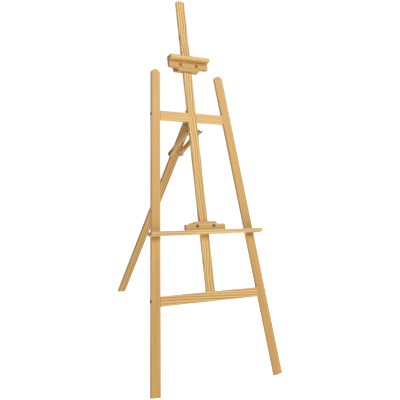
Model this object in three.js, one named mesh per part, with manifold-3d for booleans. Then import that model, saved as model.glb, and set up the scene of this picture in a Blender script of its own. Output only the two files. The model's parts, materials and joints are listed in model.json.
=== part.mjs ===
// A wooden artist's A-frame easel: two splayed legs, a mast, two crossbars, a hinged back leg held
// by a pair of slotted braces, a canvas tray and a top canvas holder that slide on the mast.
// Millimetres, +Z up, the canvas side faces -Y. The origin is on the floor, at the middle of the
// box around the standing easel.
//
// The flat A-frame leans back. Its group's own axes are X across, Y square to the frame's front
// face (0 at that face, growing towards the back) and Z up along the frame.
import * as THREE from 'three';
import * as BufferGeometryUtils from 'three/addons/utils/BufferGeometryUtils.js';
import Module from 'manifold-3d';

const wasm = await Module();
wasm.setup();

// ---- Driving dimensions ----
const GAP = 0.3; // clearance left between touching pieces
const OVERRUN = 1; // how far a cutter runs past the face it opens
const LATH_WIDTH = 40; // the frame's timber section
const LATH_THICK = 14;
const HALF = LATH_WIDTH / 2;

const LEAN = THREE.MathUtils.degToRad(25); // frame from the vertical
const SPREAD = THREE.MathUtils.degToRad(53.5); // back leg from the frame, opened
const SPLAY = THREE.MathUtils.degToRad(5.76); // side legs from the mast
const FRAME_LIFT = 7.74; // lifts the frame so that the square-cut feet touch the floor
const FRAME_SETBACK = -531.06; // puts the origin at the middle of the footprint

const LEG_FOOT_X = 290;
const LEG_LENGTH = 1338;
const LEG_TOP_RISE = 12.5; // height of the rounded top

const LOWER_BAR_BASE = 335;
const UPPER_BAR_BASE = 1106;
const CROSSBARS = [{ name: 'lower', base: LOWER_BAR_BASE }, { name: 'upper', base: UPPER_BAR_BASE }];
const MAST_TOP = 1673;
const MAST_CORNER = 9; // rounding of the mast's top corners
// The mast's foot bolt, its head sunk into the lower crossbar's underside.
const MAST_BOLT = { shank: 3, head: 4.6, dome: 2.6, sunk: 3, intoMast: 30 };

// The hinge: a butt hinge on a block behind the lap joint, both leaves hanging down from its pin.
const HINGE_BLOCK = { base: 1093, height: 70, thick: 10, screws: [37, 61], screwLength: 20 };
const HINGE = {
  height: 1120.3, pinOffset: 2.9, pin: 1.3, barrel: 2.6, leaf: 1.4, width: 36, drop: 32,
  screwX: 11, screwDrop: 22,
};
const HINGE_KNUCKLES = [[-18, -6.15], [-5.85, 5.85], [6.15, 18]];
const LEG_BELOW_PIN = 1152.65; // back leg's length, from the hinge pin to the foot

const BRACE = {
  top: 1062.6, alongLeg: 195, width: 21, thick: 10, slotHalf: 5.5, slotTravel: 44, endWall: 5,
  slack: 2.7, reach: 40, boltEnd: 10, mastNutTurn: 1.31, legNutTurn: 1.2,
};

const TRAY = { base: 612, thick: 16, depth: 35.7, left: -264, right: 272 };
const HOLDER = { base: 1378.5, thick: 16, depth: 36.7, left: -97, right: 97 };
const PLATE_THICK = 13;
const TRAY_PLATE = { half: 97, flat: 48.5, shoulder: 27.2, cove: 13.5, height: 38.2, corner: 5 };
const HOLDER_PLATE = { half: 97, flat: 46, shoulder: 33, cove: 15, height: 45, corner: 8 };
const BACK_PLATE = { half: 58, thick: 12, heights: { tray: 36, holder: 40 } };
const CLAMP_BOLT_X = 40;
const CLAMP_BOLT_END = 6; // bolt standing out of its wing nut
const TRAY_BOLT_RISE = 19.5; // above the board's top
const HOLDER_BOLT_DROP = 18.5; // below the lip's underside
const LEDGE_SCREW = { x: 72, length: 34 };

const BOLT = { shank: 3, head: 6.5, dome: 3.2 }; // joining and clamping bolts
const BRACE_BOLT = { shank: 2.5, head: 5.5, dome: 2.8 };
const DOME = [[0.55, 0.86], [0.9, 0.45]]; // a bolt head's curve, as shares of its radius and height
const NUT = {
  hub: 5.5, hubTop: 4.2, height: 7.5, reach: 15, wing: 3, rise: 13, root: 3, foot: 0.5, neck: 6.5,
};
// Corners and bends of a nut's wing, as shares of its reach and rise.
const WING = {
  heel: [0.55, 0.35], tipBend: [1, 0.45], tip: [0.96, 0.8], topBend: [0.9, 1], top: [0.7, 0.97],
  neckBend: [0.5, 0.9],
};
const WASHER = { outer: 8, slotOuter: 7.6, thick: 1.4 };
const BARREL_NUT = { radius: 5, length: 11, depth: 28 };
const SCREW = { shank: 1.7, head: 3.4, cone: 1.8, tip: 2 };
const ROUND = 16; // facets on round parts
const CURVE_STEPS = 8; // steps in a board's curved edge
const WELD = 1e-4; // vertices closer than this are one

// ---- Materials ----
const pine = (color) => new THREE.MeshStandardMaterial({ color, roughness: 0.6, metalness: 0 });
const steel = (color) => new THREE.MeshStandardMaterial({ color, roughness: 0.4, metalness: 0.9 });
const PINE = pine(0xe0b679);
const PINE_DARK = pine(0xb08a55);
const BRONZE = steel(0x5a4636);
const BLACK_STEEL = steel(0x3a3836);

// ---- Shapes: every helper returns a closed BufferGeometry in its group's axes ----
function toSolid(geometry) {
  const bare = geometry.clone();
  bare.deleteAttribute('normal');
  bare.deleteAttribute('uv');
  const merged = BufferGeometryUtils.mergeVertices(bare, WELD);
  return new wasm.Manifold(new wasm.Mesh({
    numProp: 3,
    vertProperties: new Float32Array(merged.attributes.position.array),
    triVerts: new Uint32Array(merged.index.array),
  }));
}

function toGeometry(solid) {
  const { vertProperties, triVerts } = solid.getMesh();
  const geometry = new THREE.BufferGeometry();
  geometry.setAttribute('position', new THREE.BufferAttribute(new Float32Array(vertProperties), 3));
  geometry.setIndex(new THREE.BufferAttribute(new Uint32Array(triVerts), 1));
  geometry.computeVertexNormals();
  return geometry;
}

const cut = (body, tools) => toGeometry(
  tools.reduce((solid, tool) => solid.subtract(toSolid(tool)), toSolid(body)),
);
const join = (body, others) => toGeometry(
  others.reduce((solid, other) => solid.add(toSolid(other)), toSolid(body)),
);

function block([x0, x1], [y0, y1], [z0, z1]) {
  const box = new THREE.BoxGeometry(x1 - x0, y1 - y0, z1 - z0);
  return box.translate((x0 + x1) / 2, (y0 + y1) / 2, (z0 + z1) / 2);
}

// A board cut to an X-Z outline, reaching from y0 to y1.
function board(shape, y0, y1) {
  const settings = { depth: y1 - y0, bevelEnabled: false, curveSegments: CURVE_STEPS };
  return new THREE.ExtrudeGeometry(shape, settings).rotateX(Math.PI / 2).translate(0, y1, 0);
}

// A turned piece. The profile is [radius, height] points from the bottom up; it stands on +Z.
function turned(profile, facets = ROUND) {
  const points = profile.map(([radius, height]) => new THREE.Vector2(radius, height));
  return new THREE.LatheGeometry(points, facets).rotateX(Math.PI / 2);
}

const rod = (radius, z0, z1) => turned([[0, z0], [radius, z0], [radius, z1], [0, z1]]);

// Turns a piece that stands on +Z so that it points along another axis, then moves it.
const QUARTER = Math.PI / 2;
const TURNS = {
  up: [0, 0], down: [2 * QUARTER, 0], back: [-QUARTER, 0], front: [QUARTER, 0],
  right: [0, QUARTER], left: [0, -QUARTER],
};

function aim(piece, towards, [x, y, z]) {
  const [aboutX, aboutY] = TURNS[towards];
  return piece.rotateX(aboutX).rotateY(aboutY).translate(x, y, z);
}

function addTo(group, name, geometry, material, [x, y, z] = [0, 0, 0]) {
  const mesh = new THREE.Mesh(geometry, material);
  mesh.name = name;
  mesh.position.set(x, y, z);
  group.add(mesh);
}

// ---- Fasteners: each stands on +Z, with z = 0 where its head or base bears ----
const bolt = (size, length) => turned([
  [0, -size.dome], ...DOME.map(([radius, height]) => [size.head * radius, -size.dome * height]),
  [size.head, 0], [size.shank, 0], [size.shank, length], [0, length],
]);

const boltHole = (size, z0, z1) => rod(size.shank + GAP, z0, z1);

const washer = (size, outer = WASHER.outer) => turned([
  [size.shank + GAP, 0], [outer, 0], [outer, WASHER.thick], [size.shank + GAP, WASHER.thick],
  [size.shank + GAP, 0],
]);

function wingNut(size) {
  const scale = size.shank / BOLT.shank;
  const at = ([x, z]) => [NUT.reach * x, NUT.rise * z];
  const wing = new THREE.Shape();
  wing.moveTo(0, NUT.foot);
  wing.lineTo(NUT.root, NUT.foot);
  wing.lineTo(...at(WING.heel));
  wing.quadraticCurveTo(...at(WING.tipBend), ...at(WING.tip));
  wing.quadraticCurveTo(...at(WING.topBend), ...at(WING.top));
  wing.quadraticCurveTo(...at(WING.neckBend), NUT.hubTop, NUT.neck);
  wing.lineTo(0, NUT.neck);
  const hub = turned([[0, 0], [NUT.hub, 0], [NUT.hubTop, NUT.height], [0, NUT.height]]);
  const right = board(wing, -NUT.wing / 2, NUT.wing / 2);
  const left = right.clone().rotateZ(Math.PI);
  const body = join(hub, [right, left]).scale(scale, scale, scale);
  return cut(body, [boltHole(size, -OVERRUN, NUT.rise)]);
}

// A countersunk wood screw, pointing along +Z from its flat head; grow makes it into its own hole.
const screw = (length, grow = 0) => turned([
  [0, -grow], [SCREW.head + grow, -grow], [SCREW.shank + grow, SCREW.cone],
  [SCREW.shank + grow, length - SCREW.tip], [0, length + grow],
]);

// A cross-dowel nut, threaded across at the middle of the lath that it is let into.
const acrossNut = BARREL_NUT.radius + OVERRUN;
const barrelNut = (size) => cut(rod(BARREL_NUT.radius, 0, BARREL_NUT.length), [
  aim(boltHole(size, -acrossNut, acrossNut), 'right', [0, 0, LATH_THICK / 2]),
]);
const barrelHole = () => rod(BARREL_NUT.radius + GAP, -OVERRUN, BARREL_NUT.length + GAP);

// ---- Groups: the frame leans back, the back leg hangs from its hinge, the braces from the mast ----
const easel = new THREE.Group();
const frame = new THREE.Group();
frame.rotation.x = -LEAN;
frame.position.set(0, FRAME_SETBACK, FRAME_LIFT);
easel.add(frame);

const pinDepth = LATH_THICK + GAP + HINGE_BLOCK.thick + HINGE.pinOffset;
const backLeg = new THREE.Group(); // origin on the hinge pin, Z up along the leg
backLeg.position.set(0, pinDepth, HINGE.height);
backLeg.rotation.x = SPREAD;
frame.add(backLeg);

const legMid = HINGE.pinOffset + LATH_THICK / 2; // back leg's middle plane, from the pin
const braceBolt = { y: LATH_THICK / 2, z: BRACE.top };
const legBolt = {
  y: pinDepth + legMid * Math.cos(SPREAD) + BRACE.alongLeg * Math.sin(SPREAD),
  z: HINGE.height + legMid * Math.sin(SPREAD) - BRACE.alongLeg * Math.cos(SPREAD),
};
const braceReach = Math.hypot(legBolt.y - braceBolt.y, legBolt.z - braceBolt.z);
const braces = new THREE.Group(); // origin on the mast's brace bolt, Z up along the braces
braces.position.set(0, braceBolt.y, braceBolt.z);
// Opened, the leg's bolt lies against the lower side of the slot; half-way folded, against the upper.
braces.rotation.x = Math.atan2(legBolt.y - braceBolt.y, braceBolt.z - legBolt.z)
  + Math.asin(BRACE.slack / braceReach);
frame.add(braces);

// ---- Side legs and crossbars ----
const SIDES = { left: -1, right: 1 };
const opposite = { left: 'right', right: 'left' };

// Puts a piece drawn on a side leg's own axes (foot at the origin) into the frame's axes.
const onLeg = (piece, side) => (
  piece.rotateY(-SIDES[side] * SPLAY).translate(SIDES[side] * LEG_FOOT_X, 0, 0)
);

function roundTopped(width, length, rise) {
  const radius = (width * width / 4 + rise * rise) / (2 * rise);
  const reach = Math.asin(width / 2 / radius);
  const shape = new THREE.Shape();
  shape.moveTo(-width / 2, 0);
  shape.lineTo(width / 2, 0);
  shape.absarc(0, length - radius, radius, Math.PI / 2 - reach, Math.PI / 2 + reach, false);
  return shape;
}

// Height along a side leg of the bolt that runs, square to the leg's edge, into a crossbar's middle.
const boltOnLeg = (base) => (base + HALF + HALF * Math.sin(SPLAY)) / Math.cos(SPLAY);
const crossbarBoltLength = LATH_WIDTH + BARREL_NUT.depth + BARREL_NUT.radius;

// A piece that runs inwards from a side leg's outer edge.
const fromOuterEdge = (piece, side, base) => onLeg(
  aim(piece, opposite[side], [SIDES[side] * (HALF + GAP), LATH_THICK / 2, boltOnLeg(base)]), side,
);
const crossbarBoltHole = (side, base) => (
  fromOuterEdge(boltHole(BOLT, -OVERRUN, crossbarBoltLength + OVERRUN), side, base)
);

// A piece let into a crossbar from its back, on the line of its bolt.
const inBarBack = (piece, side, base) => onLeg(
  aim(piece, 'front', [-SIDES[side] * (HALF + BARREL_NUT.depth), LATH_THICK, boltOnLeg(base)]), side,
);

function sideLeg(side) {
  const leg = onLeg(board(roundTopped(LATH_WIDTH, LEG_LENGTH, LEG_TOP_RISE), 0, LATH_THICK), side);
  return cut(leg, CROSSBARS.map(({ base }) => crossbarBoltHole(side, base)));
}

// A bar between the side legs, its ends cut on the splay.
function crossbar(base) {
  const innerX = (z) => LEG_FOOT_X - z * Math.tan(SPLAY) - (HALF + GAP) / Math.cos(SPLAY);
  const top = base + LATH_WIDTH;
  const outline = [[-innerX(base), base], [innerX(base), base], [innerX(top), top], [-innerX(top), top]];
  const shape = new THREE.Shape(outline.map(([x, z]) => new THREE.Vector2(x, z)));
  const holes = Object.keys(SIDES).flatMap((side) => [
    crossbarBoltHole(side, base), inBarBack(barrelHole(), side, base),
  ]);
  return cut(board(shape, 0, LATH_THICK), holes);
}

// ---- Mast, with its half-lap over the upper crossbar ----
const lapRise = [UPPER_BAR_BASE - GAP, UPPER_BAR_BASE + LATH_WIDTH + GAP];
const lap = (y0, y1) => block([-HALF - GAP, HALF + GAP], [y0, y1], lapRise);
const lapDepth = LATH_THICK / 2;
const mastBase = LOWER_BAR_BASE + LATH_WIDTH + GAP;
const mastBarrelZ = mastBase + MAST_BOLT.intoMast;
const mastBoltSeat = LOWER_BAR_BASE + MAST_BOLT.sunk;
const mastBoltLength = mastBarrelZ - mastBoltSeat + BARREL_NUT.radius;
const mastBolt = (piece) => aim(piece, 'up', [0, LATH_THICK / 2, mastBoltSeat - GAP]);
const mastBoltHole = () => mastBolt(boltHole(MAST_BOLT, -OVERRUN, mastBoltLength + OVERRUN));
const mastHeadHole = () => mastBolt(rod(MAST_BOLT.head + GAP, -MAST_BOLT.sunk - OVERRUN, GAP));
const mastBarrel = (piece) => aim(piece, 'front', [0, LATH_THICK, mastBarrelZ]);
const acrossBraces = (at) => aim(boltHole(BRACE_BOLT, -BRACE.reach, BRACE.reach), 'right', at);

function mast() {
  const shape = new THREE.Shape();
  shape.moveTo(-HALF, mastBase);
  shape.lineTo(HALF, mastBase);
  shape.absarc(HALF - MAST_CORNER, MAST_TOP - MAST_CORNER, MAST_CORNER, 0, QUARTER, false);
  shape.absarc(MAST_CORNER - HALF, MAST_TOP - MAST_CORNER, MAST_CORNER, QUARTER, 2 * QUARTER, false);
  return cut(board(shape, 0, LATH_THICK), [
    lap(lapDepth, LATH_THICK + OVERRUN), mastBoltHole(), mastBarrel(barrelHole()),
    acrossBraces([0, braceBolt.y, braceBolt.z]),
    ...blockScrewHoles(),
  ]);
}

// ---- Hinge block and hinge ----
const blockBack = LATH_THICK + GAP + HINGE_BLOCK.thick;
const blockScrews = (make) => HINGE_BLOCK.screws.map(
  (rise) => aim(make(HINGE_BLOCK.screwLength), 'front', [0, blockBack, HINGE_BLOCK.base + rise]),
);
const blockScrewHoles = () => blockScrews((length) => screw(length, GAP));

// Leaf screws, on the hinge pin's axes: into the block in front or into the leg behind.
const LEAF_SCREWS = {
  block: { towards: 'front', length: 8.5, y: -HINGE.pinOffset + GAP + HINGE.leaf },
  leg: { towards: 'back', length: 12, y: HINGE.pinOffset - GAP - HINGE.leaf },
};
function leafScrew(leaf, side, grow = 0) {
  const { towards, length, y } = LEAF_SCREWS[leaf];
  return aim(screw(length, grow), towards, [SIDES[side] * HINGE.screwX, y, -HINGE.screwDrop]);
}
const leafScrewHoles = (leaf) => Object.keys(SIDES).map((side) => leafScrew(leaf, side, GAP));
const fromPin = (piece) => piece.translate(0, pinDepth, HINGE.height);

function hingeBlock() {
  const { base, height } = HINGE_BLOCK;
  const body = block([-HALF, HALF], [LATH_THICK + GAP, blockBack], [base, base + height]);
  return cut(body, [...blockScrewHoles(), ...leafScrewHoles('block').map(fromPin)]);
}

// One hinge leaf on the pin's axes: a plate on its own side of the pin and the knuckles it carries.
function hingeLeaf(leaf, knuckles) {
  const front = leaf === 'block' ? -HINGE.barrel : HINGE.barrel - HINGE.leaf;
  const half = HINGE.width / 2;
  const plate = block([-half, half], [front, front + HINGE.leaf], [-HINGE.drop, 0]);
  const clear = HINGE.barrel + 2 * GAP;
  const rivals = HINGE_KNUCKLES.filter((span) => !knuckles.includes(span));
  const notches = rivals.map(([x0, x1]) => block([x0 - GAP, x1 + GAP], [-clear, clear], [-clear, OVERRUN]));
  const barrels = knuckles.map(([x0, x1]) => aim(rod(HINGE.barrel, x0, x1), 'right', [0, 0, 0]));
  const bore = aim(rod(HINGE.pin + GAP, -half - OVERRUN, half + OVERRUN), 'right', [0, 0, 0]);
  return cut(join(cut(plate, notches), barrels), [bore, ...leafScrewHoles(leaf)]);
}

// ---- Back leg ----
function backLegLath() {
  const depth = [HINGE.pinOffset, HINGE.pinOffset + LATH_THICK];
  const lath = block([-HALF, HALF], depth, [-LEG_BELOW_PIN, 0]);
  return cut(lath, [acrossBraces([0, legMid, -BRACE.alongLeg]), ...leafScrewHoles('leg')]);
}

// ---- Braces: a hole on the mast's bolt, and a slot in which the leg's bolt slides ----
const slotOuter = braceReach + BRACE.slotHalf;
const slotInner = braceReach - BRACE.slotTravel - BRACE.slotHalf;
const braceInner = HALF + GAP;
const braceOuter = braceInner + BRACE.thick;

// An upright stadium outline from z0 up to z1.
function stadium(Path, half, z0, z1) {
  const outline = new Path();
  outline.absarc(0, z0 + half, half, 2 * QUARTER, 4 * QUARTER, false);
  outline.absarc(0, z1 - half, half, 0, 2 * QUARTER, false);
  return outline;
}

function brace(side) {
  const half = BRACE.width / 2;
  const shape = stadium(THREE.Shape, half, -slotOuter - BRACE.endWall, half);
  shape.holes.push(stadium(THREE.Path, BRACE.slotHalf, -slotOuter, -slotInner));
  const [near, far] = SIDES[side] < 0 ? [braceInner, braceOuter] : [-braceOuter, -braceInner];
  const lath = board(shape, near, far).rotateZ(QUARTER);
  return cut(lath, [acrossBraces([0, 0, 0])]);
}

// ---- Tray and holder: a front plate and a back plate clamp the mast between two bolts ----
const plateFront = -GAP - PLATE_THICK;
const backPlateBack = LATH_THICK + GAP + BACK_PLATE.thick;

// An ogee-shouldered plate that stands on z = 0, narrower at its top.
function ogeePlate({ half, flat, shoulder, cove, height, corner }) {
  const shape = new THREE.Shape();
  shape.moveTo(-half, 0);
  shape.lineTo(half, 0);
  shape.absarc(half - corner, shoulder - corner, corner, 0, QUARTER, false);
  shape.lineTo(flat + cove, shoulder);
  shape.bezierCurveTo(flat + cove / 2, shoulder, flat + cove / 2, height, flat, height);
  shape.lineTo(-flat, height);
  shape.bezierCurveTo(-flat - cove / 2, height, -flat - cove / 2, shoulder, -flat - cove, shoulder);
  shape.absarc(corner - half, shoulder - corner, corner, QUARTER, 2 * QUARTER, false);
  return board(shape, plateFront, -GAP);
}

const trayTop = TRAY.base + TRAY.thick;
const clampBoltHeights = { tray: trayTop + TRAY_BOLT_RISE, holder: HOLDER.base - HOLDER_BOLT_DROP };
const clampBoltLength = backPlateBack - plateFront + 2 * GAP + WASHER.thick + NUT.height + CLAMP_BOLT_END;
const clampHoles = (slider) => Object.keys(SIDES).map((side) => aim(
  boltHole(BOLT, -OVERRUN, clampBoltLength), 'back',
  [SIDES[side] * CLAMP_BOLT_X, plateFront, clampBoltHeights[slider]],
));

// Screws that join the ledge to its front plate: up through the tray board, down through the lip.
const LEDGE_SCREWS = {
  tray: { towards: 'up', z: TRAY.base },
  holder: { towards: 'down', z: HOLDER.base + HOLDER.thick },
};
const ledgeScrew = (slider, side, grow = 0) => aim(
  screw(LEDGE_SCREW.length, grow), LEDGE_SCREWS[slider].towards,
  [SIDES[side] * LEDGE_SCREW.x, plateFront / 2, LEDGE_SCREWS[slider].z],
);
const ledgeScrewHoles = (slider) => Object.keys(SIDES).map((side) => ledgeScrew(slider, side, GAP));

function ledge({ left, right, depth, base, thick }, slider) {
  return cut(block([left, right], [-GAP - depth, -GAP], [base, base + thick]), ledgeScrewHoles(slider));
}

function frontPlate(slider) {
  const plate = slider === 'tray'
    ? ogeePlate(TRAY_PLATE).translate(0, 0, trayTop + GAP)
    : ogeePlate(HOLDER_PLATE).rotateY(Math.PI).translate(0, 0, HOLDER.base - GAP);
  return cut(plate, [...clampHoles(slider), ...ledgeScrewHoles(slider)]);
}

function backPlate(slider) {
  const { half, heights } = BACK_PLATE;
  const z = slider === 'tray' ? trayTop + GAP : HOLDER.base - GAP - heights.holder;
  const body = block([-half, half], [LATH_THICK + GAP, backPlateBack], [z, z + heights[slider]]);
  return cut(body, clampHoles(slider));
}

// ---- Assembly ----
function addFrame() {
  for (const side of Object.keys(SIDES)) addTo(frame, `${side}_leg`, sideLeg(side), PINE);
  for (const { name, base } of CROSSBARS) {
    const bar = crossbar(base);
    const holes = base === UPPER_BAR_BASE
      ? [lap(-OVERRUN, lapDepth + GAP), ...blockScrewHoles()]
      : [mastBoltHole(), mastHeadHole()];
    addTo(frame, `${name}_crossbar`, cut(bar, holes), PINE);
    for (const side of Object.keys(SIDES)) {
      const joiner = fromOuterEdge(bolt(BOLT, crossbarBoltLength), side, base);
      addTo(frame, `${name}_${side}_bolt`, joiner, BRONZE);
      addTo(frame, `${name}_${side}_barrel_nut`, inBarBack(barrelNut(BOLT), side, base), BLACK_STEEL);
    }
  }
  addTo(frame, 'mast', mast(), PINE);
  addTo(frame, 'mast_foot_bolt', mastBolt(bolt(MAST_BOLT, mastBoltLength)), BRONZE);
  addTo(frame, 'mast_foot_barrel_nut', mastBarrel(barrelNut(BOLT).rotateZ(QUARTER)), BLACK_STEEL);
}

function addHinge() {
  addTo(frame, 'hinge_block', hingeBlock(), PINE_DARK);
  blockScrews((length) => screw(length)).forEach((piece, i) => {
    addTo(frame, `hinge_block_screw_${i + 1}`, piece, BRONZE);
  });
  const [outerLeft, middle, outerRight] = HINGE_KNUCKLES;
  addTo(frame, 'hinge_block_leaf', fromPin(hingeLeaf('block', [outerLeft, outerRight])), BRONZE);
  addTo(backLeg, 'hinge_leg_leaf', hingeLeaf('leg', [middle]), BRONZE);
  const pinHalf = HINGE.width / 2;
  addTo(frame, 'hinge_pin', fromPin(aim(rod(HINGE.pin, -pinHalf, pinHalf), 'right', [0, 0, 0])), BLACK_STEEL);
  for (const side of Object.keys(SIDES)) {
    addTo(frame, `block_leaf_${side}_screw`, fromPin(leafScrew('block', side)), BRONZE);
    addTo(backLeg, `leg_leaf_${side}_screw`, leafScrew('leg', side), BRONZE);
  }
}

function addBackLegAndBraces() {
  addTo(backLeg, 'back_leg', backLegLath(), PINE_DARK);
  const bearing = braceOuter + GAP; // where the washers bear
  const seat = bearing + WASHER.thick + GAP; // where the heads and nuts bear
  const length = 2 * seat + BRACE.boltEnd;
  for (const side of Object.keys(SIDES)) {
    const x = SIDES[side] * bearing;
    addTo(braces, `${side}_brace`, brace(side), PINE_DARK);
    addTo(braces, `mast_brace_${side}_washer`, aim(washer(BRACE_BOLT), side, [x, 0, 0]), BRONZE);
    addTo(backLeg, `leg_brace_${side}_washer`,
      aim(washer(BRACE_BOLT, WASHER.slotOuter), side, [x, legMid, -BRACE.alongLeg]), BLACK_STEEL);
  }
  const ends = [
    { group: frame, name: 'mast_brace', y: braceBolt.y, z: braceBolt.z, turn: BRACE.mastNutTurn },
    { group: backLeg, name: 'leg_brace', y: legMid, z: -BRACE.alongLeg, turn: BRACE.legNutTurn },
  ];
  for (const { group, name, y, z, turn } of ends) {
    addTo(group, `${name}_bolt`, aim(bolt(BRACE_BOLT, length), 'right', [-seat, y, z]), BRONZE);
    const nut = aim(wingNut(BRACE_BOLT).rotateZ(turn), 'right', [0, 0, 0]);
    addTo(group, `${name}_wing_nut`, nut, BLACK_STEEL, [seat, y, z]);
  }
}

function addSlider(slider, ledgeName, ledgePiece) {
  addTo(frame, ledgeName, ledgePiece, PINE);
  addTo(frame, `${slider}_front_plate`, frontPlate(slider), PINE);
  addTo(frame, `${slider}_back_plate`, backPlate(slider), PINE_DARK);
  const z = clampBoltHeights[slider];
  const washerY = backPlateBack + GAP;
  for (const side of Object.keys(SIDES)) {
    const x = SIDES[side] * CLAMP_BOLT_X;
    addTo(frame, `${slider}_${side}_screw`, ledgeScrew(slider, side), BRONZE);
    const clamp = aim(bolt(BOLT, clampBoltLength), 'back', [x, plateFront - GAP, z]);
    addTo(frame, `${slider}_${side}_bolt`, clamp, BRONZE);
    addTo(frame, `${slider}_${side}_washer`, aim(washer(BOLT), 'back', [x, washerY, z]), BLACK_STEEL);
    const nut = aim(wingNut(BOLT), 'back', [0, 0, 0]);
    addTo(frame, `${slider}_${side}_wing_nut`, nut, BLACK_STEEL, [x, washerY + WASHER.thick + GAP, z]);
  }
}

addFrame();
addHinge();
addBackLegAndBraces();
addSlider('tray', 'tray_board', ledge(TRAY, 'tray'));
addSlider('holder', 'holder_lip', ledge(HOLDER, 'holder'));

export default easel;
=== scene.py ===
"""A wooden artist's easel in a plain studio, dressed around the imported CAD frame.

Metres, +Z up, the canvas side faces -Y. Every shown piece is rebuilt from its CAD node's own
extents: turned, bevelled and drilled in mesh code, with procedural pine and steel.
"""

import json
import math

import bmesh
import bpy
from mathutils import Matrix, Vector


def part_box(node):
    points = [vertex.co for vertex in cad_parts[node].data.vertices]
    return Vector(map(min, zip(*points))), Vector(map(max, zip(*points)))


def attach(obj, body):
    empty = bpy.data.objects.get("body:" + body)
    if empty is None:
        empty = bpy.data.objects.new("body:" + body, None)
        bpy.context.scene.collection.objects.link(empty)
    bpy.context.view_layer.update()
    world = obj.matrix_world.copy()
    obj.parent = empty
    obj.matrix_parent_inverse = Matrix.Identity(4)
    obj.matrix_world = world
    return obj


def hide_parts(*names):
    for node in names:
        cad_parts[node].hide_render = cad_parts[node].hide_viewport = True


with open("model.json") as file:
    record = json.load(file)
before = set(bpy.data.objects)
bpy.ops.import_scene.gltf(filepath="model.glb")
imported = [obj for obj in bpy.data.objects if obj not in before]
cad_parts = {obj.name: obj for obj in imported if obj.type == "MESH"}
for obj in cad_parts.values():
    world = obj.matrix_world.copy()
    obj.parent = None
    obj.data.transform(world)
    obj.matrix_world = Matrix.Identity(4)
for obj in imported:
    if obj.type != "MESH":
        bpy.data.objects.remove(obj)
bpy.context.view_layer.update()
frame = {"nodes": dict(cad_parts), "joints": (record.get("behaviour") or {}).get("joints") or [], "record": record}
BODY_OF = {node: body for body, nodes in frame["record"]["behaviour"]["bodies"].items() for node in nodes}
SLOT_OF = {part["node"]: part["material_slot"] for part in frame["record"]["subparts"]}

MM = 0.001
LEAN = math.radians(25.0)  # frame from the vertical
SPREAD = math.radians(53.5)  # back leg from the frame
SPLAY = math.radians(5.76)  # side legs from the mast
ROUND = 48  # facets on turned parts
SIDES = {"left": -1, "right": 1}


# ---- Axes: columns are a piece's own X, Y and Z in the row frame ----
def axes(z, x):
    z = Vector(z).normalized()
    x = (Vector(x) - z * z.dot(Vector(x))).normalized()
    return Matrix((x, z.cross(x), z)).transposed()


RIGHT = Vector((1, 0, 0))
UP = Vector((0, math.sin(LEAN), math.cos(LEAN)))
BACK = Vector((0, math.cos(LEAN), -math.sin(LEAN)))
FRAME_AXES = axes(UP, RIGHT)
LEG_AXES = axes(Matrix.Rotation(SPREAD, 3, "X") @ UP, RIGHT)
SIDE_AXES = {s: Matrix.Rotation(-k * SPLAY, 3, BACK) @ FRAME_AXES for s, k in SIDES.items()}


def extents(node, turn):
    """Lowest and highest corner of a CAD node measured along the axes in turn."""
    flat = [turn.transposed() @ v.co for v in frame["nodes"][node].data.vertices]
    lo = Vector([min(p[i] for p in flat) for i in range(3)])
    hi = Vector([max(p[i] for p in flat) for i in range(3)])
    return lo, hi


def stand(node, turn):
    """Where a piece stands: its base's middle as a matrix, and its size along the axes in turn."""
    lo, hi = extents(node, turn)
    base = Vector(((lo.x + hi.x) / 2, (lo.y + hi.y) / 2, lo.z))
    return Matrix.Translation(turn @ base) @ turn.to_4x4(), hi - lo


# ---- Mesh tools ----
def mesh_object(name, bm):
    mesh = bpy.data.meshes.new(name)
    bm.to_mesh(mesh)
    bm.free()
    obj = bpy.data.objects.new(name, mesh)
    bpy.context.scene.collection.objects.link(obj)
    return obj


def prism(outline, y0, y1):
    """A board cut to an X-Z outline, from y0 to y1."""
    bm = bmesh.new()
    near = [bm.verts.new((x, y0, z)) for x, z in outline]
    far = [bm.verts.new((x, y1, z)) for x, z in outline]
    bm.faces.new(near)
    bm.faces.new(far[::-1])
    for i, vert in enumerate(near):
        j = (i + 1) % len(near)
        bm.faces.new((vert, far[i], far[j], near[j]))
    bmesh.ops.recalc_face_normals(bm, faces=bm.faces)
    return bm


def turned(profile, facets=ROUND):
    """A turned solid on +Z from [radius, height] points; the first and last may lie on the axis."""
    bm = bmesh.new()
    rings = []
    for radius, height in profile:
        if radius < 1e-7:
            rings.append([bm.verts.new((0, 0, height))] * facets)
            continue
        angles = [2 * math.pi * k / facets for k in range(facets)]
        rings.append([bm.verts.new((radius * math.cos(a), radius * math.sin(a), height)) for a in angles])
    closed = profile[0][0] > 1e-7 and profile[-1][0] > 1e-7
    pairs = list(zip(rings, rings[1:])) + ([(rings[-1], rings[0])] if closed else [])
    for low, high in pairs:
        for k in range(facets):
            m = (k + 1) % facets
            corners = [low[k], low[m], high[m], high[k]]
            unique = list(dict.fromkeys(corners))
            if len(unique) > 2:
                bm.faces.new(unique)
    bmesh.ops.recalc_face_normals(bm, faces=bm.faces)
    return bm


def round_edges(bm, radius, segments=2, sharper_than=30):
    """Rounds every edge sharper than the angle, and marks the new faces as the arrises: worn edges, which the pine
    also lightens as a painted highlight.
    """
    layer = bm.faces.layers.float.new("arris")
    limit = math.radians(sharper_than)
    sharp = [e for e in bm.edges if len(e.link_faces) == 2 and e.calc_face_angle(0) > limit]
    made = bmesh.ops.bevel(
        bm, geom=sharp, offset=radius, segments=segments, profile=0.5, affect="EDGES", clamp_overlap=True
    )
    for face in made["faces"]:
        face[layer] = 1.0
    return bm


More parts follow.
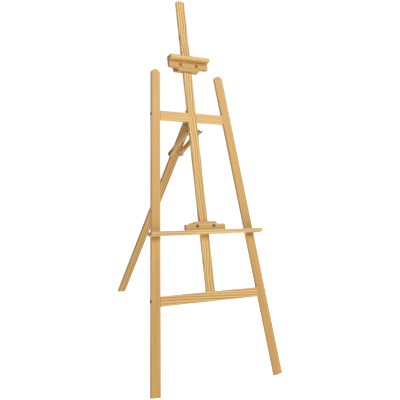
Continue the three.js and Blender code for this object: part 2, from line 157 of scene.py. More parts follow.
def combine(obj, tools, operation):
    """Cuts the tool meshes out of obj, or joins them to it; the tools are used up."""
    for tool in tools:
        step = obj.modifiers.new("step", "BOOLEAN")
        step.solver = "EXACT"
        step.operation = operation
        step.object = tool
    bpy.context.view_layer.update()
    graph = bpy.context.evaluated_depsgraph_get()
    result = bpy.data.meshes.new_from_object(obj.evaluated_get(graph))
    obj.modifiers.clear()
    obj.data = result
    for tool in tools:
        bpy.data.objects.remove(tool)
    return obj


def cut(obj, tools):
    return combine(obj, [mesh_object("tool", bm) for bm in tools], "DIFFERENCE")


def shade(obj, angle=35):
    obj.data.shade_smooth()
    obj.data.set_sharp_from_angle(angle=math.radians(angle))
    normals = obj.modifiers.new("normals", "WEIGHTED_NORMAL")
    normals.keep_sharp = True
    return obj


def moved(bm, matrix):
    bmesh.ops.transform(bm, matrix=matrix, verts=bm.verts)
    return bm


AIM = {
    "up": Matrix.Identity(4), "down": Matrix.Rotation(math.pi, 4, "X"),
    "back": Matrix.Rotation(-math.pi / 2, 4, "X"), "front": Matrix.Rotation(math.pi / 2, 4, "X"),
    "right": Matrix.Rotation(math.pi / 2, 4, "Y"),
}


def drill(radius, depth, towards, at, flare=0.0):
    """A hole cutter that starts just outside the surface at a point, with an optional wide mouth."""
    wide = radius + flare
    profile = [(0, -MM), (wide, -MM), (wide, flare * 0.2), (radius, flare), (radius, depth), (0, depth)]
    return moved(turned(profile), Matrix.Translation(at) @ AIM[towards])


def dress(obj, node, matrix, material):
    """Places a finished piece over its CAD node and gives it its body and material."""
    obj.matrix_world = matrix
    obj.data.materials.clear()
    obj.data.materials.append(material)
    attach(obj, BODY_OF[node])
    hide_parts(node)
    return obj


# ---- Materials ----
class Graph:
    """Adds nodes to one material, and links or sets their sockets."""

    def __init__(self, name):
        self.material = bpy.data.materials.new(name)
        self.material.use_nodes = True
        self.tree = self.material.node_tree
        self.surface = self.tree.nodes["Principled BSDF"].inputs

    def feed(self, socket, value):
        if isinstance(value, bpy.types.NodeSocket):
            self.tree.links.new(value, socket)
        else:
            socket.default_value = value

    def add(self, kind, inputs=None, **settings):
        node = self.tree.nodes.new(kind)
        for key, value in settings.items():
            setattr(node, key, value)
        for socket, value in (inputs or {}).items():
            self.feed(node.inputs[socket], value)
        return node

    def math(self, operation, a, b=0.0, c=0.0):
        return self.add("ShaderNodeMath", {0: a, 1: b, 2: c}, operation=operation).outputs[0]

    def span(self, value, low, high):
        """A 0 to 1 value stretched over low to high."""
        return self.math("MULTIPLY_ADD", value, high - low, low)

    def vector(self, x, y, z):
        return self.add("ShaderNodeCombineXYZ", {0: x, 1: y, 2: z}).outputs[0]

    def stretch(self, coords, scale, shift):
        """Coordinates scaled along each axis, and shifted to another stretch of the pattern."""
        x, y, z = coords
        sx, sy, sz = scale
        return self.vector(
            self.math("MULTIPLY_ADD", x, sx, shift),
            self.math("MULTIPLY_ADD", y, sy, shift * 0.37),
            self.math("MULTIPLY_ADD", z, sz, shift * 0.61),
        )

    def noise(self, vector, detail=2.0, roughness=0.5):
        inputs = {"Vector": vector, "Scale": 1.0, "Detail": detail, "Roughness": roughness}
        return self.add("ShaderNodeTexNoise", inputs).outputs["Fac"]

    def mix(self, factor, a, b, blend="MIX"):
        node = self.add("ShaderNodeMix", data_type="RGBA", blend_type=blend)
        self.feed(node.inputs["Factor"], factor)
        self.feed(node.inputs["A"], a)
        self.feed(node.inputs["B"], b)
        return node.outputs["Result"]

    def ramp(self, value, stops):
        node = self.add("ShaderNodeValToRGB", {"Fac": value})
        elements = node.color_ramp.elements
        while len(elements) < len(stops):
            elements.new(0.5)
        for element, (place, level) in zip(elements, stops):
            element.position = place
            element.color = (level, level, level, 1)
        return node.outputs["Color"]

    def grey(self, level):
        return self.vector(level, level, level)

    def bump(self, height, strength, distance):
        inputs = {"Height": height, "Strength": strength, "Distance": distance}
        self.feed(self.surface["Normal"], self.add("ShaderNodeBump", inputs).outputs["Normal"])


LIGHT_PINE = (0.75, 0.50, 0.19, 1)
DARK_PINE = (0.29, 0.155, 0.045, 1)
WARM_PINE = (0.65, 0.385, 0.125, 1)


# Positions on a growth ring, from its early wood to its late wood, and how dark each is.
RING_SHADES = [(0.0, 0.2), (0.07, 0.0), (0.42, 0.08), (0.68, 0.7), (0.9, 1.0), (0.97, 1.0), (1.0, 0.2)]
FINE_RING_SHADES = [(0.0, 0.3), (0.1, 0.0), (0.6, 0.15), (0.94, 1.0), (1.0, 0.3)]


def pine(name, seed, grain="Z", pith=(0.0, 0.05), drift=(0.0, 0.0), wave=(2.1, 0.006),
         ring=0.0045, contrast=0.6, tone=(1.0, 1.0, 1.0)):
    """Pine sawn with its pith axis at a place beside the board, so that its rings cut the faces."""
    g = Graph(name)
    coords = g.add("ShaderNodeTexCoord")
    split = g.add("ShaderNodeSeparateXYZ", {0: coords.outputs["Object"]}).outputs
    facing = g.add("ShaderNodeSeparateXYZ", {0: coords.outputs["Normal"]}).outputs
    across, deep, along = (split[2], split[1], split[0]) if grain == "X" else (split[0], split[1], split[2])
    end_on = g.math("ABSOLUTE", facing[0] if grain == "X" else facing[2])

    wander = g.noise(g.stretch((along, along, along), (wave[0], 0.0, 0.0), seed), 1.0)
    sway = g.noise(g.stretch((along, along, along), (0.0, 3.3, 0.0), seed + 9.0), 1.0)
    u = g.math("ADD", g.math("MULTIPLY_ADD", along, drift[0], -pith[0]), g.span(wander, -wave[1], wave[1]))
    u = g.math("ADD", u, across)
    v = g.math("ADD", g.math("MULTIPLY_ADD", along, drift[1], -pith[1]), g.span(sway, -0.004, 0.004))
    v = g.math("ADD", v, deep)
    radius = g.math("SQRT", g.math("ADD", g.math("MULTIPLY", u, u), g.math("MULTIPLY", v, v)))
    ripple = g.noise(g.stretch((across, deep, along), (38.0, 38.0, 3.4), seed + 3.0), 2.0)
    years = g.math("ADD", g.math("DIVIDE", radius, ring), g.span(ripple, -0.3, 0.3))
    late = g.ramp(g.math("FRACT", years), RING_SHADES)
    year = g.math("ADD", g.math("FLOOR", years), seed)
    vigour = g.add("ShaderNodeTexWhiteNoise", {"W": year}, noise_dimensions="1D").outputs["Value"]
    band = g.math("MULTIPLY", late, g.span(vigour, 0.5 * contrast, contrast))
    lean_years = g.ramp(g.math("FRACT", g.math("MULTIPLY", years, 4.0)), FINE_RING_SHADES)
    band = g.math("ADD", band, g.math("MULTIPLY", lean_years, 0.13))

    fibre = g.noise(g.stretch((across, deep, along), (1500.0, 1500.0, 22.0), seed), 3.0, 0.65)
    streak = g.noise(g.stretch((across, deep, along), (260.0, 260.0, 3.0), seed + 5.0), 2.0, 0.6)
    patch = g.noise(g.stretch((across, deep, along), (22.0, 22.0, 2.2), seed + 7.0), 2.0)
    canals = g.noise(g.stretch((across, deep, along), (900.0, 900.0, 45.0), seed + 11.0), 1.0)
    canals = g.ramp(canals, [(0.0, 0.0), (0.66, 0.0), (0.72, 1.0)])

    colour = g.mix(g.ramp(patch, [(0.3, 0.0), (0.75, 0.55)]), LIGHT_PINE, WARM_PINE)
    colour = g.mix(band, colour, DARK_PINE)
    colour = g.mix(g.math("MULTIPLY", canals, 0.25), colour, DARK_PINE)
    level = g.math("MULTIPLY", g.span(fibre, 0.8, 1.18), g.span(streak, 0.66, 1.26))
    level = g.math("MULTIPLY", level, g.span(patch, 0.95, 1.05))
    end_shade = g.ramp(end_on, [(0.6, 1.0), (0.9, 0.62)])
    level = g.math("MULTIPLY", level, end_shade)
    # The arrises are lighter: partly rubbed wear, partly a painted highlight where the rounded edges catch the
    # light; they are also a little smoother.
    arris_mask = g.add("ShaderNodeAttribute", attribute_name="arris").outputs["Fac"]
    rubbed_and_highlit = g.math("MULTIPLY", arris_mask, g.span(streak, -0.04, 0.16))
    level = g.math("ADD", level, rubbed_and_highlit)
    colour = g.mix(1.0, colour, tone + (1,), "MULTIPLY")
    g.feed(g.surface["Base Color"], g.mix(1.0, colour, g.grey(level), "MULTIPLY"))

    rough = g.math("ADD", g.span(fibre, 0.42, 0.62), g.math("MULTIPLY", band, 0.08))
    g.feed(g.surface["Roughness"], g.math("ADD", rough, g.math("MULTIPLY", arris_mask, -0.06)))
    g.surface["Specular IOR Level"].default_value = 0.35
    relief = g.math("ADD", g.math("MULTIPLY", fibre, 0.5), g.math("MULTIPLY", late, 0.35))
    g.bump(relief, 0.35, 0.25 * MM)
    return g.material


def steel(name, seed, colour, bare, roughness, metallic=1.0):
    """Plated steel: blotches in the plating, fine scratches, and bare metal on the worn edges."""
    g = Graph(name)
    place = g.add("ShaderNodeTexCoord").outputs["Object"]
    coords = g.add("ShaderNodeSeparateXYZ", {0: place}).outputs[:3]
    blotch = g.noise(g.stretch(coords, (300.0, 300.0, 300.0), seed), 4.0, 0.6)
    scratch = g.noise(g.stretch(coords, (4000.0, 350.0, 350.0), seed + 2.0), 2.0, 0.7)
    pits = g.noise(g.stretch(coords, (1800.0, 1800.0, 1800.0), seed + 4.0), 2.0)
    arris_mask = g.add("ShaderNodeAttribute", attribute_name="arris").outputs["Fac"]
    rub = g.math("MULTIPLY", arris_mask, g.ramp(blotch, [(0.4, 0.1), (0.65, 0.9)]))
    tint = g.mix(g.ramp(blotch, [(0.3, 0.0), (0.7, 1.0)]), colour, tuple(c * 1.7 for c in colour[:3]) + (1,))
    g.feed(g.surface["Base Color"], g.mix(rub, tint, bare))
    g.surface["Metallic"].default_value = metallic
    level = g.math("ADD", g.span(blotch, roughness - 0.1, roughness + 0.12), g.span(scratch, -0.05, 0.05))
    g.feed(g.surface["Roughness"], level)
    g.bump(g.math("ADD", g.math("MULTIPLY", scratch, 0.6), g.math("MULTIPLY", pits, 0.4)), 0.25, 0.05 * MM)
    return g.material


BLACK = steel("black_steel", 3.0, (0.024, 0.023, 0.021, 1), (0.14, 0.135, 0.13, 1), 0.5, 0.35)
BRONZE = steel("bronze_steel", 8.0, (0.10, 0.072, 0.03, 1), (0.26, 0.19, 0.09, 1), 0.55)
SATIN = steel("satin_bronze", 5.0, (0.27, 0.165, 0.065, 1), (0.42, 0.3, 0.15, 1), 0.5)
METALS = {"black_steel": BLACK, "bronze_steel": BRONZE}
PALER = (
    "mast_brace_bolt", "mast_brace_left_washer", "mast_brace_right_washer",
    "hinge_block_leaf", "hinge_leg_leaf",
)


def plating(node):
    """The steel of one fitting: the hinge, and the mast's brace bolt and washers, are a paler bronze."""
    return SATIN if node in PALER else METALS[SLOT_OF[node]]


# How each board was sawn: the seed moves it along the tree, pith says where the tree's heart lay.
SAWN = {
    "left_leg": dict(seed=1.0, pith=(0.12, 0.03), drift=(0.012, 0.0), ring=0.0085, contrast=0.34,
                     tone=(0.90, 0.83, 0.70)),
    "right_leg": dict(seed=2.3, pith=(-0.11, 0.045), drift=(-0.008, 0.0), ring=0.0082, contrast=0.36,
                      tone=(0.86, 0.79, 0.66)),
    "upper_crossbar": dict(seed=3.1, grain="X", pith=(0.09, 0.05), drift=(0.01, 0.0), ring=0.0085,
                           contrast=0.26, tone=(0.95, 0.93, 0.90)),
    "lower_crossbar": dict(seed=4.7, grain="X", pith=(0.16, 0.02), drift=(0.035, 0.0), wave=(2.6, 0.016),
                           ring=0.0105, contrast=0.95, tone=(1.06, 1.02, 0.96)),
    "mast": dict(seed=5.2, pith=(0.17, 0.0), drift=(0.006, 0.0), wave=(5.0, 0.032), ring=0.0125,
                 contrast=0.85, tone=(1.03, 1.02, 0.99)),
    "hinge_block": dict(seed=6.1, grain="X", pith=(0.03, 0.05), ring=0.006, contrast=0.7,
                        tone=(0.85, 0.78, 0.66)),
    "back_leg": dict(seed=7.4, pith=(-0.09, 0.03), drift=(0.008, 0.0), ring=0.0105, contrast=0.9,
                     tone=(0.82, 0.72, 0.56)),
    "left_brace": dict(seed=8.2, pith=(0.04, 0.03), ring=0.0065, contrast=0.6, tone=(0.92, 0.88, 0.80)),
    "right_brace": dict(seed=9.6, pith=(0.03, 0.04), ring=0.006, contrast=0.8, tone=(0.84, 0.74, 0.60)),
    "tray_board": dict(seed=10.5, grain="X", pith=(0.13, 0.0), drift=(0.03, 0.0), wave=(3.0, 0.01),
                       ring=0.0095, contrast=0.7, tone=(1.02, 1.03, 1.14)),
    "tray_front_plate": dict(seed=11.3, grain="X", pith=(0.06, 0.05), ring=0.008, contrast=0.35,
                             tone=(0.98, 0.94, 0.86)),
    "tray_back_plate": dict(seed=12.8, grain="X", pith=(0.02, 0.04), ring=0.006, contrast=0.6,
                            tone=(0.8, 0.72, 0.6)),
    "holder_lip": dict(seed=13.4, grain="X", pith=(0.09, 0.0), ring=0.009, contrast=0.6,
                       tone=(1.0, 0.97, 0.88)),
    "holder_front_plate": dict(seed=14.9, grain="X", pith=(0.08, 0.04), ring=0.0085, contrast=0.6,
                               tone=(0.78, 0.73, 0.62)),
    "holder_back_plate": dict(seed=15.7, grain="X", pith=(0.04, 0.03), ring=0.006, contrast=0.6,
                              tone=(0.8, 0.74, 0.62)),
}
ARRIS = 1.1 * MM  # rounding of every board's edges
SCREW_SINK = (3.6 * MM, 2.0 * MM)  # radius and depth of the seat for a screw's head
BARREL_HOLE = (5.3 * MM, 11.5 * MM)  # radius and depth of the hole for a barrel nut


def timber(node):
    return pine("pine_" + node, **SAWN[node])


def arc(cx, cz, radius, start, end, steps=12):
    """Points on an arc, angles in degrees from +X towards +Z."""
    turn = [math.radians(start + (end - start) * k / steps) for k in range(steps + 1)]
    return [(cx + radius * math.cos(a), cz + radius * math.sin(a)) for a in turn]


def ease(a, b, steps=14):
    """An ogee from a to b: a cubic whose ends are both level."""
    (ax, az), (bx, bz) = a, b
    points = []
    for k in range(steps + 1):
        t = k / steps
        x = ax * (1 - t) ** 3 + 1.5 * (ax + bx) * (t * (1 - t) ** 2 + t * t * (1 - t)) + bx * t ** 3
        z = az * ((1 - t) ** 3 + 3 * t * (1 - t) ** 2) + bz * (3 * t * t * (1 - t) + t ** 3)
        points.append((x, z))
    return points


def mirrored(right_half):
    """A closed outline from its right half, listed from the bottom up."""
    return right_half + [(-x, z) for x, z in reversed(right_half)]


def lath(node, turn, outline_of, holes=()):
    """A sawn board over its CAD node: outline_of(width, height) draws it, standing on its base."""
    place, size = stand(node, turn)
    bm = round_edges(prism(outline_of(size.x, size.z), -size.y / 2, size.y / 2), ARRIS)
    obj = mesh_object(node + "_board", bm)
    if holes:
        cut(obj, list(holes))
    return dress(shade(obj), node, place, timber(node))


def plain(width, height):
    return mirrored([(width / 2, 0), (width / 2, height)])


# ---- Side legs, mast and crossbars ----
LEG_TOP_RISE = 12.5 * MM
MAST_CORNER = 9 * MM
LATH = 40 * MM
THICK = 14 * MM


def round_topped(width, height):
    radius = (width * width / 4 + LEG_TOP_RISE ** 2) / (2 * LEG_TOP_RISE)
    reach = math.degrees(math.asin(width / 2 / radius))
    return [(-width / 2, 0), (width / 2, 0)] + arc(0, height - radius, radius, 90 - reach, 90 + reach, 28)


def mast_outline(width, height):
    top = arc(width / 2 - MAST_CORNER, height - MAST_CORNER, MAST_CORNER, 0, 90)
    return mirrored([(width / 2, 0)] + top)


def crossbar_outline(width, height):
    top = width / 2 - height * math.tan(SPLAY)
    return mirrored([(width / 2, 0), (top, height)])


def middle(node):
    lo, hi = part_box(node)
    return (lo + hi) / 2


def slab(x0, x1, y0, y1, z0, z1):
    return prism([(x0, z0), (x1, z0), (x1, z1), (x0, z1)], y0, y1)


def lap_cutter(node, other, deep):
    """The housing in one board for the other board that crosses it; deep spans the Y range."""
    lo, hi = extents(other, FRAME_AXES)
    own_lo, own_hi = extents(node, FRAME_AXES)
    centre = [(own_lo[i] + own_hi[i]) / 2 for i in range(3)]
    spans = [(lo[0] - centre[0], hi[0] - centre[0]), deep, (lo[2] - own_lo[2], hi[2] - own_lo[2])]
    seam = 0.3 * MM
    (x0, x1), (y0, y1), (z0, z1) = spans
    return slab(x0 - seam, x1 + seam, y0, y1, z0 - seam, z1 + seam)


def barrel_holes(node, nuts):
    place, size = stand(node, FRAME_AXES)
    spots = [place.inverted() @ middle(nut) for nut in nuts]
    return [drill(*BARREL_HOLE, "front", (p.x, size.y / 2, p.z), 0.4 * MM) for p in spots]


def make_frame_timber():
    for side, turn in SIDE_AXES.items():
        lath(side + "_leg", turn, round_topped)
    lath("mast", FRAME_AXES, mast_outline, [
        lap_cutter("mast", "upper_crossbar", (0.0, THICK)),
        *barrel_holes("mast", ["mast_foot_barrel_nut"]),
    ])
    lath("upper_crossbar", FRAME_AXES, crossbar_outline, [
        lap_cutter("upper_crossbar", "mast", (-THICK, 0.0)),
        *barrel_holes("upper_crossbar", ["upper_left_barrel_nut", "upper_right_barrel_nut"]),
    ])
    head_hole = drill(MAST_BOLT["head"] + 0.3 * MM, 3 * MM, "up", (0, 0, 0), 0.3 * MM)
    lath("lower_crossbar", FRAME_AXES, crossbar_outline,
         [head_hole, *barrel_holes("lower_crossbar", ["lower_left_barrel_nut", "lower_right_barrel_nut"])])
    size = stand("hinge_block", FRAME_AXES)[1]
    heads = [extents(f"hinge_block_screw_{k}", FRAME_AXES) for k in (1, 2)]
    base = extents("hinge_block", FRAME_AXES)[0].z
    spots = [((lo.x + hi.x) / 2, size.y / 2, (lo.z + hi.z) / 2 - base) for lo, hi in heads]
    lath("hinge_block", FRAME_AXES, plain, [drill(*SCREW_SINK, "front", spot) for spot in spots])


# ---- Back leg and braces ----
BRACE_SLOT = {"half": 5.5 * MM, "end_wall": 5 * MM, "travel": 44 * MM}


def joint_place(name):
    return Vector(next(j for j in frame["joints"] if j["name"] == name)["pos_m"])


def brace_axes():
    """The braces' own axes: Z runs from the middle of the lath up to the mast's bolt."""
    points = [v.co for v in frame["nodes"]["left_brace"].data.vertices]
    lo = joint_place("brace_fold")
    centre = sum(points, Vector()) / len(points)
    return axes((0, lo.y - centre.y, lo.z - centre.z), RIGHT)


BRACE_AXES = brace_axes()


def stadium(half, z0, z1):
    return arc(0, z0 + half, half, 180, 360, 20) + arc(0, z1 - half, half, 0, 180, 20)


def make_back_timber():
    lath("back_leg", LEG_AXES, plain)
    slot_top = BRACE_SLOT["end_wall"] + 2 * BRACE_SLOT["half"] + BRACE_SLOT["travel"]
    for side in SIDES:
        node = side + "_brace"
        # The outline lies across the lath's own Y, so it is drawn on axes turned a quarter about Z.
        turn = BRACE_AXES @ Matrix.Rotation(math.pi / 2, 3, "Z")
        slot = prism(stadium(BRACE_SLOT["half"], BRACE_SLOT["end_wall"], slot_top), -LATH, LATH)
        lath(node, turn, lambda width, height: stadium(width / 2, 0, height), [slot])


# ---- Tray and holder ----
TRAY_PLATE = {"flat": 48.5, "shoulder": 27.2, "cove": 13.5, "corner": 5}
HOLDER_PLATE = {"flat": 46, "shoulder": 33, "cove": 15, "corner": 8}


def ogee_outline(shape, width, height):
    """The right half of an ogee-shouldered plate, from its wide base up, then its mirror image."""
    half = width / 2
    flat, shoulder, cove, corner = (shape[k] * MM for k in ("flat", "shoulder", "cove", "corner"))
    rounded = arc(half - corner, shoulder - corner, corner, 0, 90, 8)
    return mirrored([(half, 0)] + rounded + ease((flat + cove, shoulder), (flat, height)))


def make_slider_timber():
    upside_down = FRAME_AXES @ Matrix.Rotation(math.pi, 3, "Y")
    lath("tray_front_plate", FRAME_AXES, lambda w, h: ogee_outline(TRAY_PLATE, w, h))
    lath("holder_front_plate", upside_down, lambda w, h: ogee_outline(HOLDER_PLATE, w, h))
    for slider in ("tray", "holder"):
        lath(slider + "_back_plate", FRAME_AXES, plain)
    for slider, ledge, towards in (("tray", "tray_board", "up"), ("holder", "holder_lip", "down")):
        place, size = stand(ledge, FRAME_AXES)
        face = 0.0 if towards == "up" else size.z
        spots = [place.inverted() @ middle(f"{slider}_{side}_screw") for side in SIDES]
        lath(ledge, FRAME_AXES, plain, [drill(*SCREW_SINK, towards, (p.x, p.y, face)) for p in spots])


# ---- Steel ----
PITCH = 0.9 * MM
THREAD_DEPTH = 0.45 * MM
SOCKET_DEPTH = 2.0 * MM


def threaded(bm, z0, z1, radius, pitch, depth):
    """Cuts a screw thread into the rings of a shank between z0 and z1."""
    for vert in bm.verts:
        reach = math.hypot(vert.co.x, vert.co.y)
        if z0 < vert.co.z < z1 and abs(reach - radius) < depth:
            turn = vert.co.z / pitch - math.atan2(vert.co.y, vert.co.x) / (2 * math.pi)
            scale = 1 - depth / radius * abs(2 * (turn % 1.0) - 1)
            vert.co.x *= scale
            vert.co.y *= scale
    return bm


def shank_profile(radius, z0, thread_from, z1, pitch):
    rings = max(1, round((z1 - thread_from) / pitch * 6))
    steps = [(radius, thread_from + (z1 - thread_from) * k / rings) for k in range(rings + 1)]
    return [(radius, z0)] + steps + [(radius * 0.8, z1 + 0.4 * MM), (0, z1 + 0.4 * MM)]


def bolt(node, turn, dome, head, shank, thread, socket):
    """A bolt over its CAD node, its head at the base: domed, with a hexagon socket if asked."""
    place, size = stand(node, turn)
    steps = [math.pi / 2 * k / 10 for k in range(11)]
    rise = [(head * math.sin(a), dome * (1 - math.cos(a)) * 0.85) for a in steps]
    neck = [(head, dome - 0.15 * MM), (head - 0.15 * MM, dome), (shank, dome)]
    end = size.z - 0.4 * MM
    profile = rise + neck + shank_profile(shank, dome + 0.01 * MM, end - thread, end, PITCH)
    bm = threaded(turned(profile), end - thread, end + 0.1 * MM, shank, PITCH, THREAD_DEPTH)
    mark_arris(bm, lambda p: p.z < dome * 0.25 or math.hypot(p.x, p.y) > head * 0.93)
    obj = mesh_object(node + "_piece", bm)
    if socket:
        cut(obj, [turned([(0, -MM), (socket, -MM), (socket, SOCKET_DEPTH), (0, SOCKET_DEPTH + 0.4 * MM)], 6)])
    return dress(shade(obj, 40), node, place, plating(node))


def mark_arris(bm, is_worn):
    layer = bm.faces.layers.float.get("arris") or bm.faces.layers.float.new("arris")
    for face in bm.faces:
        if is_worn(face.calc_center_median()):
            face[layer] = 1.0
    return bm


def washer(node, turn):
    place, size = stand(node, turn)
    outer, thick, edge = size.x / 2, size.z, 0.25 * MM
    inner = 2.8 * MM if "brace" in node else 3.3 * MM
    profile = [(inner, edge), (inner + edge, 0), (outer - edge, 0), (outer, edge), (outer, thick - edge),
               (outer - edge, thick), (inner + edge, thick), (inner, thick - edge)]
    bm = mark_arris(turned(profile), lambda p: math.hypot(p.x, p.y) > outer - 0.2 * MM)
    return dress(shade(mesh_object(node + "_piece", bm)), node, place, plating(node))


def wing_outline(reach, rise, root, height):
    """One wing of a wing nut: it leans out from the hub and ends in a round tip."""
    tip = 0.27 * reach
    outer = arc(reach - tip, rise - tip * 1.05, tip, -60, 140, 14)
    return [(0, 0.08 * rise), (root, 0.08 * rise)] + outer + [(root, height * 0.86), (0, height * 0.86)]


def wing_nut(node, turn, bore):
    """A cast wing nut: hub and wings joined, then softened all over."""
    joint = joint_place(node + "_turn")
    place = Matrix.Translation(joint) @ turn.to_4x4()
    lo, hi = extents(node, turn)
    base = turn.transposed() @ joint
    reach = max(math.hypot(v.x - base.x, v.y - base.y) for v in
                (turn.transposed() @ w.co for w in frame["nodes"][node].data.vertices))
    rise = hi.z - lo.z
    scale = rise / (13 * MM)
    hub, hub_top, height = 5.5 * MM * scale, 4.3 * MM * scale, 7.5 * MM * scale
    cone = [(0, 0), (hub, 0), (hub, 0.9 * MM), (hub_top, height), (0, height)]
    body = mesh_object(node + "_piece", turned(cone))
    wings = []
    for side in (0, math.pi):
        wing = prism(wing_outline(reach, rise, hub * 0.5, height), -1.5 * MM * scale, 1.5 * MM * scale)
        spin = Matrix.Rotation(side + wing_turn(node, turn, base), 4, "Z")
        wings.append(mesh_object("tool", moved(wing, spin)))
    combine(body, wings, "UNION")
    soften(body, 0.45 * MM)
    cut(body, [turned([(0, -MM), (bore, -MM), (bore, rise), (0, rise)])])
    return dress(shade(body, 50), node, place, plating(node))


def wing_turn(node, turn, base):
    """The angle of the CAD nut's wings about its axis."""
    points = [turn.transposed() @ v.co for v in frame["nodes"][node].data.vertices]
    far = max(points, key=lambda p: math.hypot(p.x - base.x, p.y - base.y))
    return math.atan2(far.y - base.y, far.x - base.x)


def soften(obj, voxel):
    """Melts a joined shape's inner corners together, as a casting has them."""
    remesh = obj.modifiers.new("remesh", "REMESH")
    remesh.mode = "VOXEL"
    remesh.voxel_size = voxel
    smooth = obj.modifiers.new("smooth", "SMOOTH")
    smooth.factor = 0.5
    smooth.iterations = 6
    bpy.context.view_layer.update()
    graph = bpy.context.evaluated_depsgraph_get()
    result = bpy.data.meshes.new_from_object(obj.evaluated_get(graph))
    obj.modifiers.clear()
    obj.data = result
    return obj


def screw(node, turn):
    """A countersunk wood screw with a cross recess."""
    place, size = stand(node, turn)
    head, shank, cone = 3.4 * MM, 1.7 * MM, 1.8 * MM
    rim, tip = 0.15 * MM, 3 * MM
    profile = [(0, 0), (head - rim, 0), (head, rim), (shank, cone), (shank, size.z - tip), (0, size.z)]
    bm = mark_arris(turned(profile, 32), lambda p: p.z < 0.1 * MM)
    obj = mesh_object(node + "_piece", bm)
    arm, half = 2.0 * MM, 0.42 * MM
    cross = [slab(-arm, arm, -half, half, -MM, 1.1 * MM), slab(-half, half, -arm, arm, -MM, 1.1 * MM)]
    return dress(shade(cut(obj, cross)), node, place, plating(node))


def barrel_nut(node, turn):
    """A cross-dowel nut: a plain barrel with a screwdriver slot in its end."""
    place, size = stand(node, turn)
    radius, length, edge = 5 * MM, size.z, 0.4 * MM
    near_end = [(0, 0), (radius - edge, 0), (radius, edge)]
    far_end = [(radius, length - edge), (radius - edge, length), (0, length)]
    bm = mark_arris(turned(near_end + far_end), lambda p: p.z < edge and math.hypot(p.x, p.y) > radius - edge)
    half_slot, slot_depth = 0.6 * MM, 1.2 * MM
    slot = slab(-2 * radius, 2 * radius, -half_slot, half_slot, -MM, slot_depth)
    return dress(shade(cut(mesh_object(node + "_piece", bm), [slot])), node, place, plating(node))


HINGE = {"pin": 1.3 * MM, "barrel": 2.6 * MM, "leaf": 1.4 * MM, "half": 18 * MM, "drop": 32 * MM}
KNUCKLES = [(-18 * MM, -6.15 * MM), (-5.85 * MM, 5.85 * MM), (6.15 * MM, 18 * MM)]


def hinge_leaf(node, turn, front, own, screws):
    """A hinge leaf on the pin's axes: plate, rolled knuckles, countersunk holes."""
    pin = joint_place("back_leg_fold")
    place = Matrix.Translation(pin) @ turn.to_4x4()
    half, drop, leaf = HINGE["half"], HINGE["drop"], HINGE["leaf"]
    corner = 3 * MM
    outline = [(half, 0), (-half, 0)] + arc(corner - half, corner - drop, corner, 180, 270, 8)
    outline += arc(half - corner, corner - drop, corner, 270, 360, 8)
    plate = round_edges(prism(outline, front, front + leaf), 0.2 * MM, 1)
    obj = mesh_object(node + "_piece", plate)
    gap = 0.3 * MM
    rivals = [span for k, span in enumerate(KNUCKLES) if k not in own]
    clear = HINGE["barrel"] + 2 * gap
    cut(obj, [slab(x0 - gap, x1 + gap, -clear, clear, -clear, MM) for x0, x1 in rivals])
    barrels = []
    for k in own:
        x0, x1 = KNUCKLES[k]
        edge, radius = 0.2 * MM, HINGE["barrel"]
        near_end = [(0, x0), (radius - edge, x0), (radius, x0 + edge)]
        far_end = [(radius, x1 - edge), (radius - edge, x1), (0, x1)]
        barrels.append(mesh_object("tool", moved(turned(near_end + far_end), AIM["right"])))
    combine(obj, barrels, "UNION")
    bore_radius, reach = HINGE["pin"] + gap, half + MM
    bore = moved(turned([(0, -reach), (bore_radius, -reach), (bore_radius, reach), (0, reach)]), AIM["right"])
    towards = "front" if front < 0 else "back"
    mouth = front + leaf if towards == "front" else front
    spots = [place.inverted() @ middle(s) for s in screws]
    sinks = [drill(2.0 * MM, 3 * MM, towards, (p.x, mouth, p.z), 1.6 * MM) for p in spots]
    cut(obj, [bore] + sinks)
    return dress(shade(obj), node, place, plating(node))


def hinge_pin(node):
    place, size = stand(node, axes(RIGHT, UP))
    radius, length = HINGE["pin"], size.z
    profile = [(0, 0), (radius * 0.7, 0.1 * MM), (radius, 0.5 * MM), (radius, length - 0.5 * MM),
               (radius * 0.7, length - 0.1 * MM), (0, length)]
    return dress(shade(mesh_object(node + "_piece", turned(profile))), node, place, plating(node))


MAST_BOLT = dict(dome=2.6 * MM, head=4.6 * MM, shank=3 * MM, thread=6 * MM, socket=2 * MM)
JOINT_BOLT = dict(dome=3.2 * MM, head=6.5 * MM, shank=3 * MM, thread=6 * MM, socket=2.4 * MM)
CLAMP_BOLT = dict(dome=3.2 * MM, head=6.5 * MM, shank=3 * MM, thread=16 * MM, socket=0)
BRACE_BOLT = dict(dome=2.8 * MM, head=5.5 * MM, shank=2.5 * MM, thread=12 * MM, socket=0)


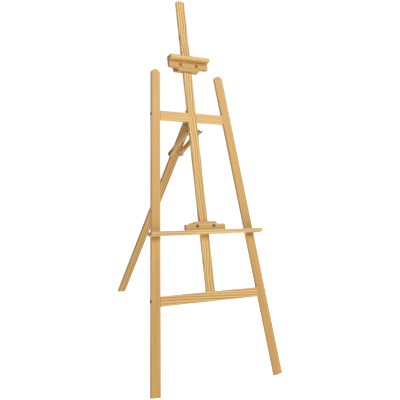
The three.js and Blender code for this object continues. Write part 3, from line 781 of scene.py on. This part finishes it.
def make_steel():
    towards_back, towards_front = axes(BACK, RIGHT), axes(-BACK, RIGHT)
    for level in ("lower", "upper"):
        for side, k in SIDES.items():
            inward = SIDE_AXES[side] @ Vector((-k, 0, 0))
            bolt(f"{level}_{side}_bolt", axes(inward, UP), **JOINT_BOLT)
            barrel_nut(f"{level}_{side}_barrel_nut", axes(-BACK, inward))
    bolt("mast_foot_bolt", axes(UP, RIGHT), **MAST_BOLT)
    barrel_nut("mast_foot_barrel_nut", axes(-BACK, UP))
    for k in (1, 2):
        screw(f"hinge_block_screw_{k}", towards_front)
    block_screws, leg_screws = ([f"{leaf}_leaf_{side}_screw" for side in SIDES] for leaf in ("block", "leg"))
    hinge_leaf("hinge_block_leaf", FRAME_AXES, -HINGE["barrel"], (0, 2), block_screws)
    hinge_leaf("hinge_leg_leaf", LEG_AXES, HINGE["barrel"] - HINGE["leaf"], (1,), leg_screws)
    hinge_pin("hinge_pin")
    leg_back = LEG_AXES @ Vector((0, 1, 0))
    for side, k in SIDES.items():
        screw(f"block_leaf_{side}_screw", towards_front)
        screw(f"leg_leaf_{side}_screw", axes(leg_back, RIGHT))
        for end in ("mast", "leg"):
            washer(f"{end}_brace_{side}_washer", axes(k * RIGHT, UP))
        for slider in ("tray", "holder"):
            sink = UP if slider == "tray" else -UP
            screw(f"{slider}_{side}_screw", axes(sink, RIGHT))
            bolt(f"{slider}_{side}_bolt", towards_back, **CLAMP_BOLT)
            washer(f"{slider}_{side}_washer", towards_back)
            wing_nut(f"{slider}_{side}_wing_nut", towards_back, 3.2 * MM)
    for end in ("mast", "leg"):
        bolt(f"{end}_brace_bolt", axes(RIGHT, UP), **BRACE_BOLT)
        wing_nut(f"{end}_brace_wing_nut", axes(RIGHT, UP), 2.7 * MM)


# ---- Studio ----
FLOOR = 40.0  # half the width of the studio floor
FLOOR_GREY, FLOOR_GLOW = 0.6, 0.97  # it glows, so that it reads as white
AMBIENT, BACKDROP = 0.22, 1.05  # the world's strength as a light, and as the camera sees it
LENS, SENSOR = 52.02, 36.0
CAMERA_AT = (-1.24504, -2.25954, 1.19356)
CAMERA_TURN = (-31.133, 11.726, 6.717)  # azimuth, downward tilt and roll in degrees
KEY = dict(place=(1.4, -2.5, 3.4), target=(0, 0, 0.9), size=2.4, power=118.0, colour=(1.0, 0.985, 0.96))


def make_camera():
    lens_data = bpy.data.cameras.new("camera")
    lens_data.lens = LENS
    lens_data.sensor_width = SENSOR
    lens_data.clip_end = 100.0
    camera = bpy.data.objects.new("camera", lens_data)
    bpy.context.scene.collection.objects.link(camera)
    azimuth, down, roll = (math.radians(a) for a in CAMERA_TURN)
    ahead = Vector((-math.sin(azimuth) * math.cos(down), math.cos(azimuth) * math.cos(down), -math.sin(down)))
    level = Vector((math.cos(azimuth), math.sin(azimuth), 0))
    above = level.cross(ahead)
    right = level * math.cos(roll) + above * math.sin(roll)
    top = above * math.cos(roll) - level * math.sin(roll)
    turn = Matrix((right, top, -ahead)).transposed().to_4x4()
    camera.matrix_world = Matrix.Translation(CAMERA_AT) @ turn
    bpy.context.scene.camera = camera


def area_light(name, place, target, size, power, colour):
    data = bpy.data.lights.new(name, "AREA")
    data.shape = "DISK"
    data.size = size
    data.energy = power
    data.color = colour
    light = bpy.data.objects.new(name, data)
    bpy.context.scene.collection.objects.link(light)
    aim = Vector(target) - Vector(place)
    light.matrix_world = Matrix.Translation(place) @ aim.to_track_quat("-Z", "Y").to_matrix().to_4x4()


def make_studio():
    area_light("key", **KEY)
    world = bpy.data.worlds.new("studio")
    world.use_nodes = True
    tree = world.node_tree
    backdrop = tree.nodes["Background"]
    backdrop.inputs["Color"].default_value = (1, 1, 1, 1)
    seen = tree.nodes.new("ShaderNodeLightPath").outputs["Is Camera Ray"]
    level = tree.nodes.new("ShaderNodeMapRange")
    level.inputs["To Min"].default_value = AMBIENT
    level.inputs["To Max"].default_value = BACKDROP
    tree.links.new(seen, level.inputs["Value"])
    tree.links.new(level.outputs["Result"], backdrop.inputs["Strength"])
    bpy.context.scene.world = world
    bpy.context.scene.view_settings.view_transform = "Standard"

    floor = mesh_object("floor", slab(-FLOOR, FLOOR, -FLOOR, FLOOR, -0.02, -0.0005))
    g = Graph("floor_paint")
    g.feed(g.surface["Base Color"], (FLOOR_GREY, FLOOR_GREY, FLOOR_GREY, 1))
    g.surface["Roughness"].default_value = 0.9
    g.surface["Emission Color"].default_value = (1, 1, 1, 1)
    g.surface["Emission Strength"].default_value = FLOOR_GLOW
    floor.data.materials.append(g.material)


make_camera()
make_frame_timber()
make_back_timber()
make_slider_timber()
make_steel()
make_studio()
